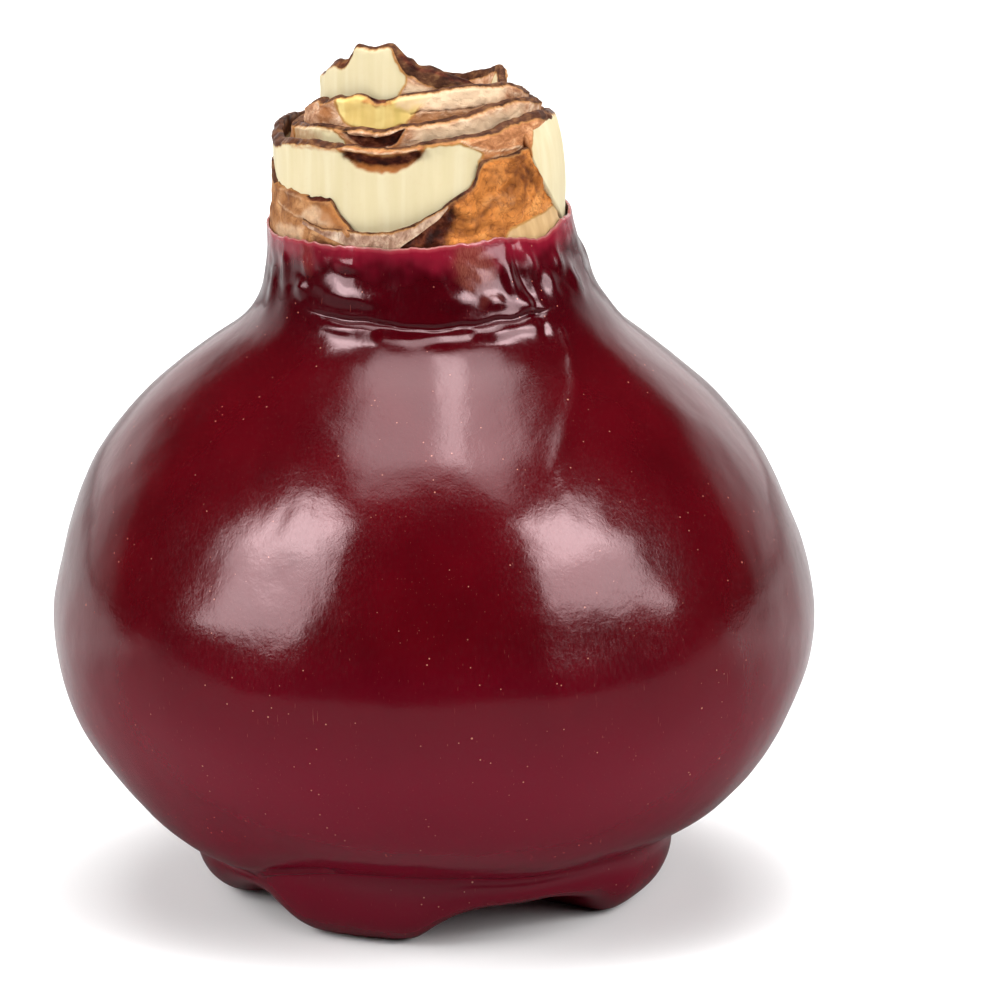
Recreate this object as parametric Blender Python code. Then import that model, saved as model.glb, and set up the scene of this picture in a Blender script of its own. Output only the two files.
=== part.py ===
"""A waxed amaryllis bulb: a glossy dipped wax coat on lumpy wax feet, and inside it a bulb whose cut, dry
neck scales stand out of the coat's mouth. Metres, +Z up. The origin is on the ground under the middle of
the bulb, and the front, where the neck's pale shaved face is, looks along -Y. An azimuth is in degrees,
0 at the front and growing to the right, towards +X."""

import math

import bmesh
import bpy
from mathutils import Matrix

MM = 0.001

# Driving dimensions
BULB_WIDTH = 92 * MM
COAT_WALL = 1.4 * MM
COAT_WALL_AT_MOUTH = 0.6 * MM
GAP = 0.35 * MM
COAT_FLOOR = 12.8 * MM  # height of the coat's inner floor, above the wax base
FLOOR_CORNER = 3.0 * MM  # how wide and high the slanting corner round that floor is
SHOULDER = 74 * MM  # height of the bulb's flat shoulder, where the neck scales stand
NECK_CORE_RADIUS = 8.6 * MM
NECK_CORE_TOP = 97 * MM
NECK_LEAN = -1.9 * MM  # the neck's sideways shift from the body's axis
LEAN_START = 70 * MM
LEAN_END = 86 * MM

# The coat's outer wall, from its mouth down to the crease over the base: height in mm, and radius as a
# share of half the bulb's width
COAT_OUTLINE = (
    (83.0, 0.394),
    (79.0, 0.407),
    (76.0, 0.424),
    (73.0, 0.453),
    (70.0, 0.504),
    (67.0, 0.587),
    (64.0, 0.667),
    (60.0, 0.763),
    (54.0, 0.865),
    (48.0, 0.928),
    (42.0, 0.972),
    (34.5, 1.000),
    (27.0, 0.976),
    (20.0, 0.909),
    (13.0, 0.793),
    (10.0, 0.715),
    (8.7, 0.659),
)
# The base under the crease, as the skirt between two feet and through a foot, from the crease to the middle
# of its hollow underside: height and radius in mm
SKIRT = ((8.25, 29.2), (8.0, 28.5), (7.6, 28.25), (7.0, 28.35), (6.4, 28.3), (5.8, 27.9), (5.3, 27.2),
         (4.95, 26.2), (4.8, 24.8), (4.75, 22.5), (4.7, 19.5), (4.7, 16.0), (4.7, 13.0), (4.75, 8.0))
FOOT = ((8.25, 29.4), (8.0, 28.9), (7.2, 28.8), (6.2, 28.9), (5.0, 28.8), (3.8, 28.4), (2.5, 27.6),
        (1.2, 26.2), (0.35, 24.6), (0.0, 22.9), (0.0, 19.5), (0.0, 15.0), (1.0, 12.4), (4.3, 8.5))
BASE_HOLLOW = 4.8 * MM
# How much of a foot there is round the base: azimuth, and 0 for the skirt alone to 1 for a whole foot
FOOT_SHARE = ((-160, 0.95), (-150, 1.0), (-138, 0.95), (-128, 0.5), (-117, 0.25), (-108, 0.6),
              (-98, 1.0), (-84, 1.0), (-74, 0.85), (-62, 0.4), (-52, 0.15), (-45, 0.35), (-38, 0.88),
              (-31, 1.0), (-12, 1.0), (-5, 0.9), (1, 0.5), (8, 0.12), (18, 0.0), (34, 0.05),
              (46, 0.4), (56, 0.95), (64, 1.0), (82, 1.0), (92, 0.7), (101, 0.25), (110, 0.5),
              (119, 0.95), (128, 1.0), (138, 0.95), (148, 0.4), (162, 0.1), (180, 0.1), (192, 0.6))
# How far the crease rises over its plain height, because the bulb stands tilted in its base: azimuth and mm
CREASE_LIFT = ((-150, 0.0), (-75, -0.3), (-60, -0.9), (-45, -0.8), (-36, 0.5), (-25, 1.5), (-3, 1.5),
               (10, 1.2), (25, 0.8), (43, 1.0), (65, 0.8), (105, 0.1), (150, 0.0))

# The height of an edge round the neck: azimuth and height in mm
MOUTH_EDGE = ((-160, 83.6), (-110, 82.6), (-74, 81.7), (-62, 82.2), (-52, 82.3), (-36, 82.3), (-18, 82.5),
              (-3, 82.5), (11, 82.9), (24, 83.1), (38, 83.1), (50, 82.4), (58, 82.6), (67, 83.4), (82, 83.6),
              (130, 84.2))
OUTER_RIM = ((-150, 94.2), (-122, 93.9), (-104, 94.2), (-88, 93.3), (-76, 93.1), (-64, 93.6), (-50, 94.0),
             (-31, 94.1), (-16, 94.0), (-4, 94.2), (3, 94.8), (12, 95.1), (31, 95.6), (45, 96.3), (60, 96.7),
             (72, 96.4), (98, 94.9), (115, 95.2), (150, 94.8))
SECOND_RIM = ((-150, 95.4), (-112, 94.4), (-88, 94.4), (-63, 95.1), (-50, 95.6), (-35, 95.6), (-28, 95.9),
              (-19, 95.7), (-12, 96.0), (-5, 96.5), (8, 96.8), (17, 97.1), (28, 97.7), (38, 98.2), (50, 98.4),
              (65, 98.1), (90, 97.0), (118, 96.5), (150, 96.0))
THIRD_RIM = ((-150, 96.6), (-111, 96.2), (-88, 96.3), (-75, 97.3), (-64, 98.2), (-58, 98.0), (-52, 98.5),
             (-47, 98.9), (-42, 98.9), (-33, 99.4), (-25, 99.0), (-15, 99.1), (-8, 99.7), (4, 100.0),
             (17, 100.4), (32, 100.6), (47, 100.2), (59, 100.1), (70, 99.3), (90, 98.2), (120, 97.5))
PEAKED_RIM = ((-129, 99.6), (-105, 99.8), (-88, 100.3), (-74, 101.0), (-61, 102.6), (-49, 103.0),
              (-42.5, 104.5), (-39, 105.0), (-27, 104.85), (-15, 105.4), (-11.5, 104.9), (-6, 103.9),
              (-2, 103.6), (2, 102.9), (9, 102.8), (18, 102.0), (32, 100.9), (40, 100.2), (60, 99.2),
              (90, 98.4), (150, 98.2))
BACK_RIM = ((-150, 97.0), (-60, 97.4), (30, 98.0), (66, 98.4), (84, 99.2), (94, 100.3), (101, 100.6),
            (110, 100.2), (124, 99.5), (138, 98.9), (150, 98.2), (165, 97.6))
PAPERY_RIM = ((-188, 88.5), (-150, 89.4), (-104, 89.6), (-92, 90.3), (-85, 90.0), (-79, 89.0),
              (-75.5, 88.0), (-68, 87.8), (-50, 87.6), (-38, 87.6), (-35.4, 87.1), (-33.2, 86.1),
              (-29.6, 85.0), (-27, 84.3), (-24, 84.0))
LEATHERY_RIM = ((-20, 83.4), (-4, 84.9), (4.4, 86.0), (11.2, 87.3), (16.4, 88.4), (22.4, 89.4), (24.9, 90.7),
                (26, 92.0), (29, 92.4), (39, 92.6), (48, 92.9))
SIDE_RIM = ((50, 94.9), (55, 96.0), (60, 96.3), (72, 96.2), (105, 95.0), (140, 92.4), (168, 89.6))

COAT_SEGMENTS = 56
BULB_SEGMENTS = 40
SCALE_SEGMENTS = 60
OUTLINE_ROWS = 22
INNER_ROWS = 14
MOUTH_ROWS = 5
SCALE_ROWS = 4
CORE_ROWS = 5


def smooth_step(low, high, value):
    """0 below low, 1 above high, and a smooth ramp between them."""
    share = min(max((value - low) / (high - low), 0), 1)
    return share * share * (3 - 2 * share)


def along(knots, place):
    """The value at a place on the smooth curve through (place, value) knots."""
    last = len(knots) - 2
    index = min(max(sum(place > knot[0] for knot in knots) - 1, 0), last)

    def slope(at):
        before, after = knots[max(at - 1, 0)], knots[min(at + 1, last + 1)]
        return (after[1] - before[1]) / (after[0] - before[0])

    (start, low), (end, high) = knots[index], knots[index + 1]
    span = end - start
    t = min(max((place - start) / span, 0), 1)
    return (
        low * (1 + 2 * t) * (1 - t) ** 2
        + high * t * t * (3 - 2 * t)
        + span * slope(index) * t * (1 - t) ** 2
        - span * slope(index + 1) * t * t * (1 - t)
    )


def around(knots, azimuth):
    """The value at an azimuth on the curve through knots that go once round and join up behind."""
    behind = tuple((place - 360, value) for place, value in knots[-2:])
    beyond = tuple((place + 360, value) for place, value in knots[:2])
    return along(behind + knots + beyond, azimuth)


def coat_radius(height):
    """The coat's outer radius at a height, both in metres."""
    rising = tuple(reversed(COAT_OUTLINE))
    return along(rising, height / MM) * BULB_WIDTH / 2


def wall_at(height):
    """The coat's wall, which thins towards the mouth."""
    thin = smooth_step(66 * MM, 78 * MM, height)
    return COAT_WALL + (COAT_WALL_AT_MOUTH - COAT_WALL) * thin


def wall_and_gap_at(height):
    return wall_at(height) + GAP


def no_wall_at(height):
    return 0


def heights(bottom, top, rows):
    """Evenly spaced heights from the bottom to the top."""
    return [bottom + (top - bottom) * row / rows for row in range(rows + 1)]


def inset_outline(levels, depth_at):
    """(radius, height) points inside the coat's outline by depth_at(height), one at each level."""
    points = []
    step = 0.5 * MM
    for height in levels:
        lean = (coat_radius(height + step) - coat_radius(height - step)) / (2 * step)
        slant = math.hypot(1, lean)
        depth = depth_at(height)
        points.append((coat_radius(height) - depth * slant, height))
    return points


# The heights where the coat's inner wall and the bulb's side have their rows, so that the gap stays even
BODY_LEVELS = heights(COAT_FLOOR + FLOOR_CORNER, SHOULDER, INNER_ROWS)


def swell(azimuth, height):
    """The slow unevenness of the grown body, which fades out at the neck, the equator and the base."""
    turn = math.radians(azimuth)
    upper = smooth_step(40 * MM, 50 * MM, height) * (1 - smooth_step(66 * MM, 73 * MM, height))
    lower = smooth_step(9 * MM, 16 * MM, height) * (1 - smooth_step(22 * MM, 30 * MM, height))
    ripple = 0.35 * math.sin(3 * turn + 0.6) + 0.25 * math.sin(5 * turn + 2.0)
    return (upper + 0.6 * lower) * ripple * MM


def lean_at(height):
    return NECK_LEAN * smooth_step(LEAN_START, LEAN_END, height)


def polar(vertex):
    """(radius, azimuth, height) of a vertex."""
    x, y, z = vertex.co
    return math.hypot(x, y), math.degrees(math.atan2(x, -y)), z


def put(vertex, radius, azimuth, height):
    """Moves a vertex to a place given round the leaning axis."""
    turn = math.radians(azimuth)
    vertex.co = (radius * math.sin(turn) + lean_at(height), -radius * math.cos(turn), height)


def turned(points, segments, closed, start=0, sweep=360):
    """The surface that a profile of (radius, height) points makes when it is turned round Z."""
    mesh = bmesh.new()
    corners = [mesh.verts.new((0, -radius, height)) for radius, height in points]
    for first, second in zip(corners, corners[1:]):
        mesh.edges.new((first, second))
    if closed:
        mesh.edges.new((corners[-1], corners[0]))
    about_z = {"cent": (0, 0, 0), "axis": (0, 0, 1), "dvec": (0, 0, 0)}
    bmesh.ops.spin(mesh, geom=mesh.verts[:] + mesh.edges[:], angle=math.radians(sweep), steps=segments,
                   use_merge=sweep == 360, **about_z)
    if sweep < 360:
        ends = [edge for edge in mesh.edges if len(edge.link_faces) == 1]
        bmesh.ops.holes_fill(mesh, edges=ends, sides=0)
    turn = Matrix.Rotation(math.radians(start), 3, "Z")
    bmesh.ops.rotate(mesh, verts=mesh.verts[:], cent=(0, 0, 0), matrix=turn)
    bmesh.ops.remove_doubles(mesh, verts=mesh.verts[:], dist=0.001 * MM)
    bmesh.ops.recalc_face_normals(mesh, faces=mesh.faces[:])
    return mesh


def finish(name, mesh, material):
    """Makes the mesh a named object with its material, shaded smooth but for its sharp edges."""
    bmesh.ops.triangulate(mesh, faces=mesh.faces[:])
    data = bpy.data.meshes.new(name)
    mesh.to_mesh(data)
    mesh.free()
    data.materials.append(material)
    data.shade_smooth()
    data.set_sharp_from_angle(angle=math.radians(40))
    item = bpy.data.objects.new(name, data)
    bpy.context.scene.collection.objects.link(item)
    return item


def finish_of(name, color, roughness):
    """A Principled material of one colour."""
    material = bpy.data.materials.new(name)
    material.use_nodes = True
    shader = material.node_tree.nodes["Principled BSDF"]
    shader.inputs["Base Color"].default_value = (*color, 1)
    shader.inputs["Roughness"].default_value = roughness
    shader.inputs["Metallic"].default_value = 0
    return material


def skirt_row(radius, height):
    """The row of SKIRT that a place on the base belongs to."""
    away = [abs(row_radius * MM - radius) + abs(row_height * MM - height) for row_height, row_radius in SKIRT]
    return away.index(min(away))


def wax_coat():
    """The dipped coat: a thin shell open at the mouth, on a thick base whose feet are pressed flat."""
    top = COAT_OUTLINE[0][0] * MM
    crease = COAT_OUTLINE[-1][0] * MM
    underside = [(0, BASE_HOLLOW)] + [(radius * MM, height * MM) for height, radius in reversed(SKIRT)]
    outer = inset_outline(heights(crease, top, OUTLINE_ROWS), no_wall_at)
    inner = inset_outline(BODY_LEVELS + heights(SHOULDER, top, MOUTH_ROWS)[1:], wall_at)
    lip = [((outer[-1][0] + inner[-1][0]) / 2, top + COAT_WALL_AT_MOUTH / 2)]
    floor = [(inner[0][0] - FLOOR_CORNER, COAT_FLOOR), (0, COAT_FLOOR)]
    mesh = turned(underside + outer + lip + inner[::-1] + floor, COAT_SEGMENTS, closed=False)
    for vertex in mesh.verts:
        radius, azimuth, height = polar(vertex)
        lift = around(CREASE_LIFT, azimuth) * MM
        if height < crease and radius > 0:
            share = min(max(around(FOOT_SHARE, azimuth), 0), 1)
            row = skirt_row(radius, height)
            height += share * (FOOT[row][0] - SKIRT[row][0]) * MM + lift * smooth_step(5 * MM, crease, height)
            radius += share * (FOOT[row][1] - SKIRT[row][1]) * MM
            height = max(height, 0)
        elif radius > coat_radius(height) - wall_at(height) / 2:
            height += lift * (1 - smooth_step(crease, 18 * MM, height))
        rise = around(MOUTH_EDGE, azimuth) * MM - top
        height += rise * smooth_step(74 * MM, top, height)
        put(vertex, radius + swell(azimuth, height), azimuth, height)
    return finish("wax_coat", mesh, finish_of("dark red dipped wax", (0.18, 0.004, 0.008), 0.18))


def bulb_body():
    """The bulb itself, its round body inside the coat and the core of its neck in one solid."""
    side = inset_outline(BODY_LEVELS, wall_and_gap_at)
    base = [(0, COAT_FLOOR + GAP), (side[0][0] - FLOOR_CORNER, COAT_FLOOR + GAP)]
    stem = heights(SHOULDER, NECK_CORE_TOP - 2 * MM, CORE_ROWS)
    core = [(NECK_CORE_RADIUS, height) for height in stem]
    core += [
        (NECK_CORE_RADIUS * 0.72, NECK_CORE_TOP - 0.5 * MM),
        (NECK_CORE_RADIUS * 0.3, NECK_CORE_TOP),
        (0, NECK_CORE_TOP - 0.3 * MM),
    ]
    mesh = turned(base + side + core, BULB_SEGMENTS, closed=False)
    for vertex in mesh.verts:
        radius, azimuth, height = polar(vertex)
        put(vertex, radius + swell(azimuth, height), azimuth, height)
    return finish("bulb_body", mesh, finish_of("pale bulb flesh", (0.72, 0.62, 0.36), 0.6))


def neck_scale(name, rim, radius_in, wall, material, start=-180, sweep=360, flare=0.0):
    """One scale of the neck: a sleeve, or part of one, from the bulb's shoulder up to its uneven rim.
    The radius and wall are in mm, and flare is how far the rim stands out from the foot, in mm."""
    shares = [row / SCALE_ROWS for row in range(SCALE_ROWS + 1)]
    outer = [(2, share) for share in shares]
    inner = [(1, share) for share in reversed(shares)]
    lip = [(1.5, 1 + 0.25 / SCALE_ROWS)]
    segments = max(round(SCALE_SEGMENTS * sweep / 360), 6)
    mesh = turned(outer + lip + inner, segments, closed=True, start=start, sweep=sweep)
    foot = SHOULDER + GAP
    follow = around if sweep == 360 else along
    for vertex in mesh.verts:
        across, azimuth, share = polar(vertex)
        if sweep < 360 and azimuth > start + sweep + 1:
            azimuth -= 360
        edge = follow(rim, azimuth) * MM
        height = foot + (edge - foot) * min(share, 1) + 0.2 * wall * MM * (share > 1)
        radius = (radius_in + wall * (across - 1) + flare * smooth_step(0.35, 1, share)) * MM
        put(vertex, radius, azimuth, height)
    bmesh.ops.recalc_face_normals(mesh, faces=mesh.faces[:])
    return finish(name, mesh, material)


def neck_scales():
    """The scales that stand out of the coat's mouth, from the outermost inwards."""
    papery = finish_of("papery brown tunic", (0.42, 0.24, 0.14), 0.75)
    leathery = finish_of("leathery orange tunic", (0.36, 0.14, 0.05), 0.5)
    fleshy = finish_of("cream shaved flesh", (0.86, 0.72, 0.42), 0.55)
    dried = finish_of("dried pink scale", (0.55, 0.33, 0.22), 0.65)
    neck_scale("papery_tunic", PAPERY_RIM, 16.5, 0.6, papery, start=-188, sweep=164, flare=0.3)
    neck_scale("leathery_tunic", LEATHERY_RIM, 16.5, 0.6, leathery, start=-20, sweep=68, flare=0.3)
    neck_scale("side_scale", SIDE_RIM, 16.5, 0.7, fleshy, start=50, sweep=118, flare=0.15)
    neck_scale("outer_scale", OUTER_RIM, 15.0, 1.15, fleshy, flare=0.25)
    neck_scale("second_scale", SECOND_RIM, 13.4, 1.2, dried)
    neck_scale("third_scale", THIRD_RIM, 11.8, 1.2, dried)
    neck_scale("peaked_scale", PEAKED_RIM, 10.35, 1.1, fleshy)
    neck_scale("back_scale", BACK_RIM, 9.0, 1.0, dried)


def main():
    for item in list(bpy.data.objects):
        bpy.data.objects.remove(item, do_unlink=True)
    wax_coat()
    bulb_body()
    neck_scales()


main()
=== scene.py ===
"""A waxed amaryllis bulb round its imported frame: a glossy dark red coat of dipped wax on lumpy wax feet, and
the shaved and dried neck scales that stand out of the coat's mouth. Sizes are in millimetres, and the
finished meshes in metres. An azimuth is in degrees, 0 at the front (-Y) and growing to the right (+X)."""

import math

import bmesh
import bpy
import numpy as np
from mathutils import Matrix, Vector, noise


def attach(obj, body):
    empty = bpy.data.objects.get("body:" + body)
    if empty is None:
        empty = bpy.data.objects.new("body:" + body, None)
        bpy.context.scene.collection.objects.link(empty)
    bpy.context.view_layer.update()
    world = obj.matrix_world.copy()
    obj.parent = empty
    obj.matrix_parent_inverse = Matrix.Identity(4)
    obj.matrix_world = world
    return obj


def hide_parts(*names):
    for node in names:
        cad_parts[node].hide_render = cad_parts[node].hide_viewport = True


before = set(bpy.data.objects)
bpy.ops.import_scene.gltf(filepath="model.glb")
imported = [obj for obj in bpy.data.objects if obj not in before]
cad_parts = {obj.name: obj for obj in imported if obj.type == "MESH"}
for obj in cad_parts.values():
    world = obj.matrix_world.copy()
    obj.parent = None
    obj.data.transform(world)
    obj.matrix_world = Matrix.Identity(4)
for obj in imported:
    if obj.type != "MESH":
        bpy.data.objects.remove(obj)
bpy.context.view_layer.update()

MM = 0.001
CUTS = 8  # how many strips each step of a turned shape is cut into

# The bulb's own curves, as the frame has them
HALF_WIDTH = 46.0
COAT_WALL = 1.4
COAT_WALL_AT_MOUTH = 0.6
FILM = 0.28  # how thin the wax is at its very edge
COAT_FLOOR = 12.8
FLOOR_CORNER = 3.0
GAP = 0.35
SHOULDER = 74.0
COAT_TOP = 83.0
CREASE = 8.7
CORE_RADIUS = 8.6
CORE_TOP = 97.0
NECK_LEAN = -1.9

# The coat's outer wall: height, and radius as a share of half the bulb's width
COAT_OUTLINE = ((8.7, 0.659), (10.0, 0.715), (13.0, 0.793), (20.0, 0.909), (27.0, 0.976), (34.5, 1.000),
                (42.0, 0.972), (48.0, 0.928), (54.0, 0.865), (60.0, 0.763), (64.0, 0.667), (67.0, 0.587),
                (70.0, 0.504), (73.0, 0.453), (76.0, 0.424), (79.0, 0.407), (83.0, 0.394))
# The base from the crease to the middle of its hollow underside, as the skirt between two feet and
# through a foot: height and radius
SKIRT = ((8.25, 29.2), (8.0, 28.5), (7.6, 28.25), (7.0, 28.35), (6.4, 28.3), (5.8, 27.9), (5.3, 27.2),
         (4.95, 26.2), (4.8, 24.8), (4.75, 22.5), (4.7, 19.5), (4.7, 16.0), (4.7, 13.0), (4.75, 8.0),
         (4.8, 0.0))
FOOT = ((8.25, 29.4), (8.0, 28.9), (7.2, 28.8), (6.2, 28.9), (5.0, 28.8), (3.8, 28.4), (2.5, 27.6),
        (1.2, 26.2), (0.35, 24.6), (0.0, 22.9), (0.0, 19.5), (0.0, 15.0), (1.0, 12.4), (4.3, 8.5),
        (4.8, 0.0))
# How much of a foot there is round the base: azimuth, and 0 for the skirt alone to 1 for a whole foot
FOOT_SHARE = ((-160, 0.95), (-150, 1.0), (-138, 0.95), (-128, 0.5), (-117, 0.25), (-108, 0.6),
              (-98, 1.0), (-84, 1.0), (-74, 0.85), (-62, 0.4), (-52, 0.15), (-45, 0.35), (-38, 0.88),
              (-31, 1.0), (-12, 1.0), (-5, 0.9), (1, 0.5), (8, 0.12), (18, 0.0), (34, 0.05),
              (46, 0.4), (56, 0.95), (64, 1.0), (82, 1.0), (92, 0.7), (101, 0.25), (110, 0.5),
              (119, 0.95), (128, 1.0), (138, 0.95), (148, 0.4), (162, 0.1), (180, 0.1), (192, 0.6))
# How far the crease rises, because the bulb stands tilted in its base: azimuth and height
CREASE_LIFT = ((-150, 0.0), (-75, -0.3), (-60, -0.9), (-45, -0.8), (-36, 0.5), (-25, 1.5), (-3, 1.5),
               (10, 1.2), (25, 0.8), (43, 1.0), (65, 0.8), (105, 0.1), (150, 0.0))

# The height of an edge round the neck: azimuth and height
MOUTH_EDGE = ((-160, 83.6), (-110, 82.6), (-74, 81.7), (-62, 82.2), (-52, 82.3), (-36, 82.3), (-18, 82.5),
              (-3, 82.5), (11, 82.9), (24, 83.1), (38, 83.1), (50, 82.4), (58, 82.6), (67, 83.4), (82, 83.6),
              (130, 84.2))
OUTER_RIM = ((-150, 94.2), (-122, 93.9), (-104, 94.2), (-88, 93.3), (-76, 93.1), (-64, 93.6), (-50, 94.0),
             (-31, 94.1), (-16, 94.0), (-4, 94.2), (3, 94.8), (12, 95.1), (31, 95.6), (45, 96.3), (60, 96.7),
             (72, 96.4), (98, 94.9), (115, 95.2), (150, 94.8))
SECOND_RIM = ((-150, 95.4), (-112, 94.4), (-88, 94.4), (-63, 95.1), (-50, 95.6), (-35, 95.6), (-28, 95.9),
              (-19, 95.7), (-12, 96.0), (-5, 96.5), (8, 96.8), (17, 97.1), (28, 97.7), (38, 98.2), (50, 98.4),
              (65, 98.1), (90, 97.0), (118, 96.5), (150, 96.0))
THIRD_RIM = ((-150, 96.6), (-111, 96.2), (-88, 96.3), (-75, 97.3), (-64, 98.2), (-58, 98.0), (-52, 98.5),
             (-47, 98.9), (-42, 98.9), (-33, 99.4), (-25, 99.0), (-15, 99.1), (-8, 99.7), (4, 100.0),
             (17, 100.4), (32, 100.6), (47, 100.2), (59, 100.1), (70, 99.3), (90, 98.2), (120, 97.5))
PEAKED_RIM = ((-129, 99.6), (-105, 99.8), (-88, 100.3), (-74, 101.0), (-61, 102.6), (-49, 103.0),
              (-42.5, 104.5), (-39, 105.0), (-27, 104.85), (-15, 105.4), (-11.5, 104.9), (-6, 103.9),
              (-2, 103.6), (2, 102.9), (9, 102.8), (18, 102.0), (32, 100.9), (40, 100.2), (60, 99.2),
              (90, 98.4), (150, 98.2))
BACK_RIM = ((-150, 97.0), (-60, 97.4), (30, 98.0), (66, 98.4), (84, 99.2), (94, 100.3), (101, 100.6),
            (110, 100.2), (124, 99.5), (138, 98.9), (150, 98.2), (165, 97.6))
PAPERY_RIM = ((-188, 88.5), (-150, 89.4), (-104, 89.6), (-92, 90.3), (-85, 90.0), (-79, 89.0),
              (-75.5, 88.0), (-68, 87.8), (-50, 87.6), (-38, 87.6), (-35.4, 87.1), (-33.2, 86.1),
              (-29.6, 85.0), (-27, 84.3), (-24, 84.0))
LEATHERY_RIM = ((-20, 83.4), (-4, 84.9), (4.4, 86.0), (8.6, 86.5), (11.2, 87.3), (16.4, 88.4),
                (22.4, 89.4), (24.9, 90.7), (26, 92.0), (29, 92.4), (39, 92.6), (46, 92.9), (51, 93.0),
                (54, 91.4), (60, 88.7), (67, 86.4), (77, 83.9))
SIDE_FOOT = ((49, 94.5), (50.5, 93.1), (53, 91.3), (59, 88.5), (66, 86.2), (76, 83.7), (86, 80.5),
             (96, 77), (168, 77))
SIDE_RIM = ((50, 94.9), (55, 96.0), (60, 96.3), (72, 96.2), (105, 95.0), (140, 92.4), (168, 89.6))
STRIP_TOP = ((-50, 84.8), (-46, 84.5), (-40, 84.2), (-27, 84.25), (-20, 84.15), (-13, 84.3), (-7, 84.7),
             (-1, 85.3), (4, 86.3), (8.5, 87.0), (12, 87.7))
STRIP_FOOT = ((-50, 84.2), (-42, 83.6), (-36, 83.1), (-30, 82.6), (-25, 82.2), (-10, 82.1), (-5, 83.1),
              (0, 84.1), (4, 85.0), (8.5, 86.0), (12, 87.3))


def smooth_step(low, high, value):
    """0 below low, 1 above high, and a smooth ramp between them."""
    share = np.clip((value - low) / (high - low), 0, 1)
    return share * share * (3 - 2 * share)


def bump(middle, reach, value):
    """1 at the middle, fading smoothly to nothing a few reaches away."""
    return np.exp(-(((value - middle) / reach) ** 2))


def along(knots, place):
    """The values at places on the smooth curve through (place, value) knots, level beyond its ends."""
    spots, values = np.array(knots, float).T
    place = np.clip(place, spots[0], spots[-1])
    slopes = np.concatenate((
        [(values[1] - values[0]) / (spots[1] - spots[0])],
        (values[2:] - values[:-2]) / (spots[2:] - spots[:-2]),
        [(values[-1] - values[-2]) / (spots[-1] - spots[-2])]))
    index = np.clip(np.searchsorted(spots, place) - 1, 0, len(spots) - 2)
    span = spots[index + 1] - spots[index]
    t = (place - spots[index]) / span
    return (
        values[index] * (1 + 2 * t) * (1 - t) ** 2
        + values[index + 1] * t * t * (3 - 2 * t)
        + span * slopes[index] * t * (1 - t) ** 2
        - span * slopes[index + 1] * t * t * (1 - t)
    )


def around(knots, azimuth):
    """The values at azimuths on the curve through knots that go once round and join up behind."""
    behind = tuple((place - 360, value) for place, value in knots[-2:])
    beyond = tuple((place + 360, value) for place, value in knots[:2])
    return along(behind + tuple(knots) + beyond, azimuth)


def lumps(points, size, seed):
    """Smooth unevenness, from about -1 to 1, with lumps of this size."""
    shift = Vector((seed * 31.7, seed * 17.1, seed * 7.3))
    return np.array([1.6 * noise.noise(Vector(point) + shift) for point in points / size])


def on_cylinder(radius, azimuth, height):
    """(x, y, z) points at these places round the upright axis."""
    turn = np.radians(azimuth)
    return np.stack(np.broadcast_arrays(radius * np.sin(turn), -radius * np.cos(turn), height), 1)


def off_line(azimuth, height, line, radius):
    """How far each place is from a line of (azimuth, height) points, along a surface of this radius."""
    to_mm = math.radians(1) * radius
    places = np.stack((azimuth * to_mm, height), 1)
    corners = np.array(line, float) * (to_mm, 1)
    nearest = np.full(len(places), 1e9)
    for start, end in zip(corners, corners[1:]):
        run = end - start
        share = np.clip((places - start) @ run / (run @ run), 0, 1)
        nearest = np.minimum(nearest, np.hypot(*(places - start - share[:, None] * run).T))
    return nearest


def inside_by(azimuth, height, outline, radius):
    """How deep each place is inside a closed outline of (azimuth, height) points, negative outside it."""
    closed = list(outline) + [outline[0]]
    odd = np.zeros(len(azimuth), bool)
    for (left, low), (right, high) in zip(closed, closed[1:]):
        if low == high:
            continue
        crossing = left + (height - low) / (high - low) * (right - left)
        odd ^= ((low > height) != (high > height)) & (azimuth < crossing)
    return np.where(odd, 1, -1) * off_line(azimuth, height, closed, radius)


def coat_radius(height):
    """The radius of the coat's plain outline."""
    return along(COAT_OUTLINE, height) * HALF_WIDTH


def wall_at(height):
    """The coat's wall, which thins towards the mouth."""
    wall = COAT_WALL + (COAT_WALL_AT_MOUTH - COAT_WALL) * smooth_step(66, 78, height)
    return wall + (FILM - COAT_WALL_AT_MOUTH) * smooth_step(80.5, COAT_TOP, height)


def lean_at(height):
    """How far the neck leans to the right."""
    return NECK_LEAN * smooth_step(70, 86, height)


def swell(azimuth, height):
    """The slow unevenness of the grown body, which fades out at the neck, the equator and the base."""
    turn = np.radians(azimuth)
    upper = smooth_step(40, 50, height) * (1 - smooth_step(66, 73, height))
    lower = smooth_step(9, 16, height) * (1 - smooth_step(22, 30, height))
    return (upper + 0.6 * lower) * (0.35 * np.sin(3 * turn + 0.6) + 0.25 * np.sin(5 * turn + 2.0))


def inset_outline(levels, depth):
    """(radius, height) points inside the coat's outline by a depth for each level."""
    slope = coat_radius(levels + 0.5) - coat_radius(levels - 0.5)
    return list(zip(coat_radius(levels) - depth * np.hypot(1, slope), levels))


# Mesh work


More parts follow.
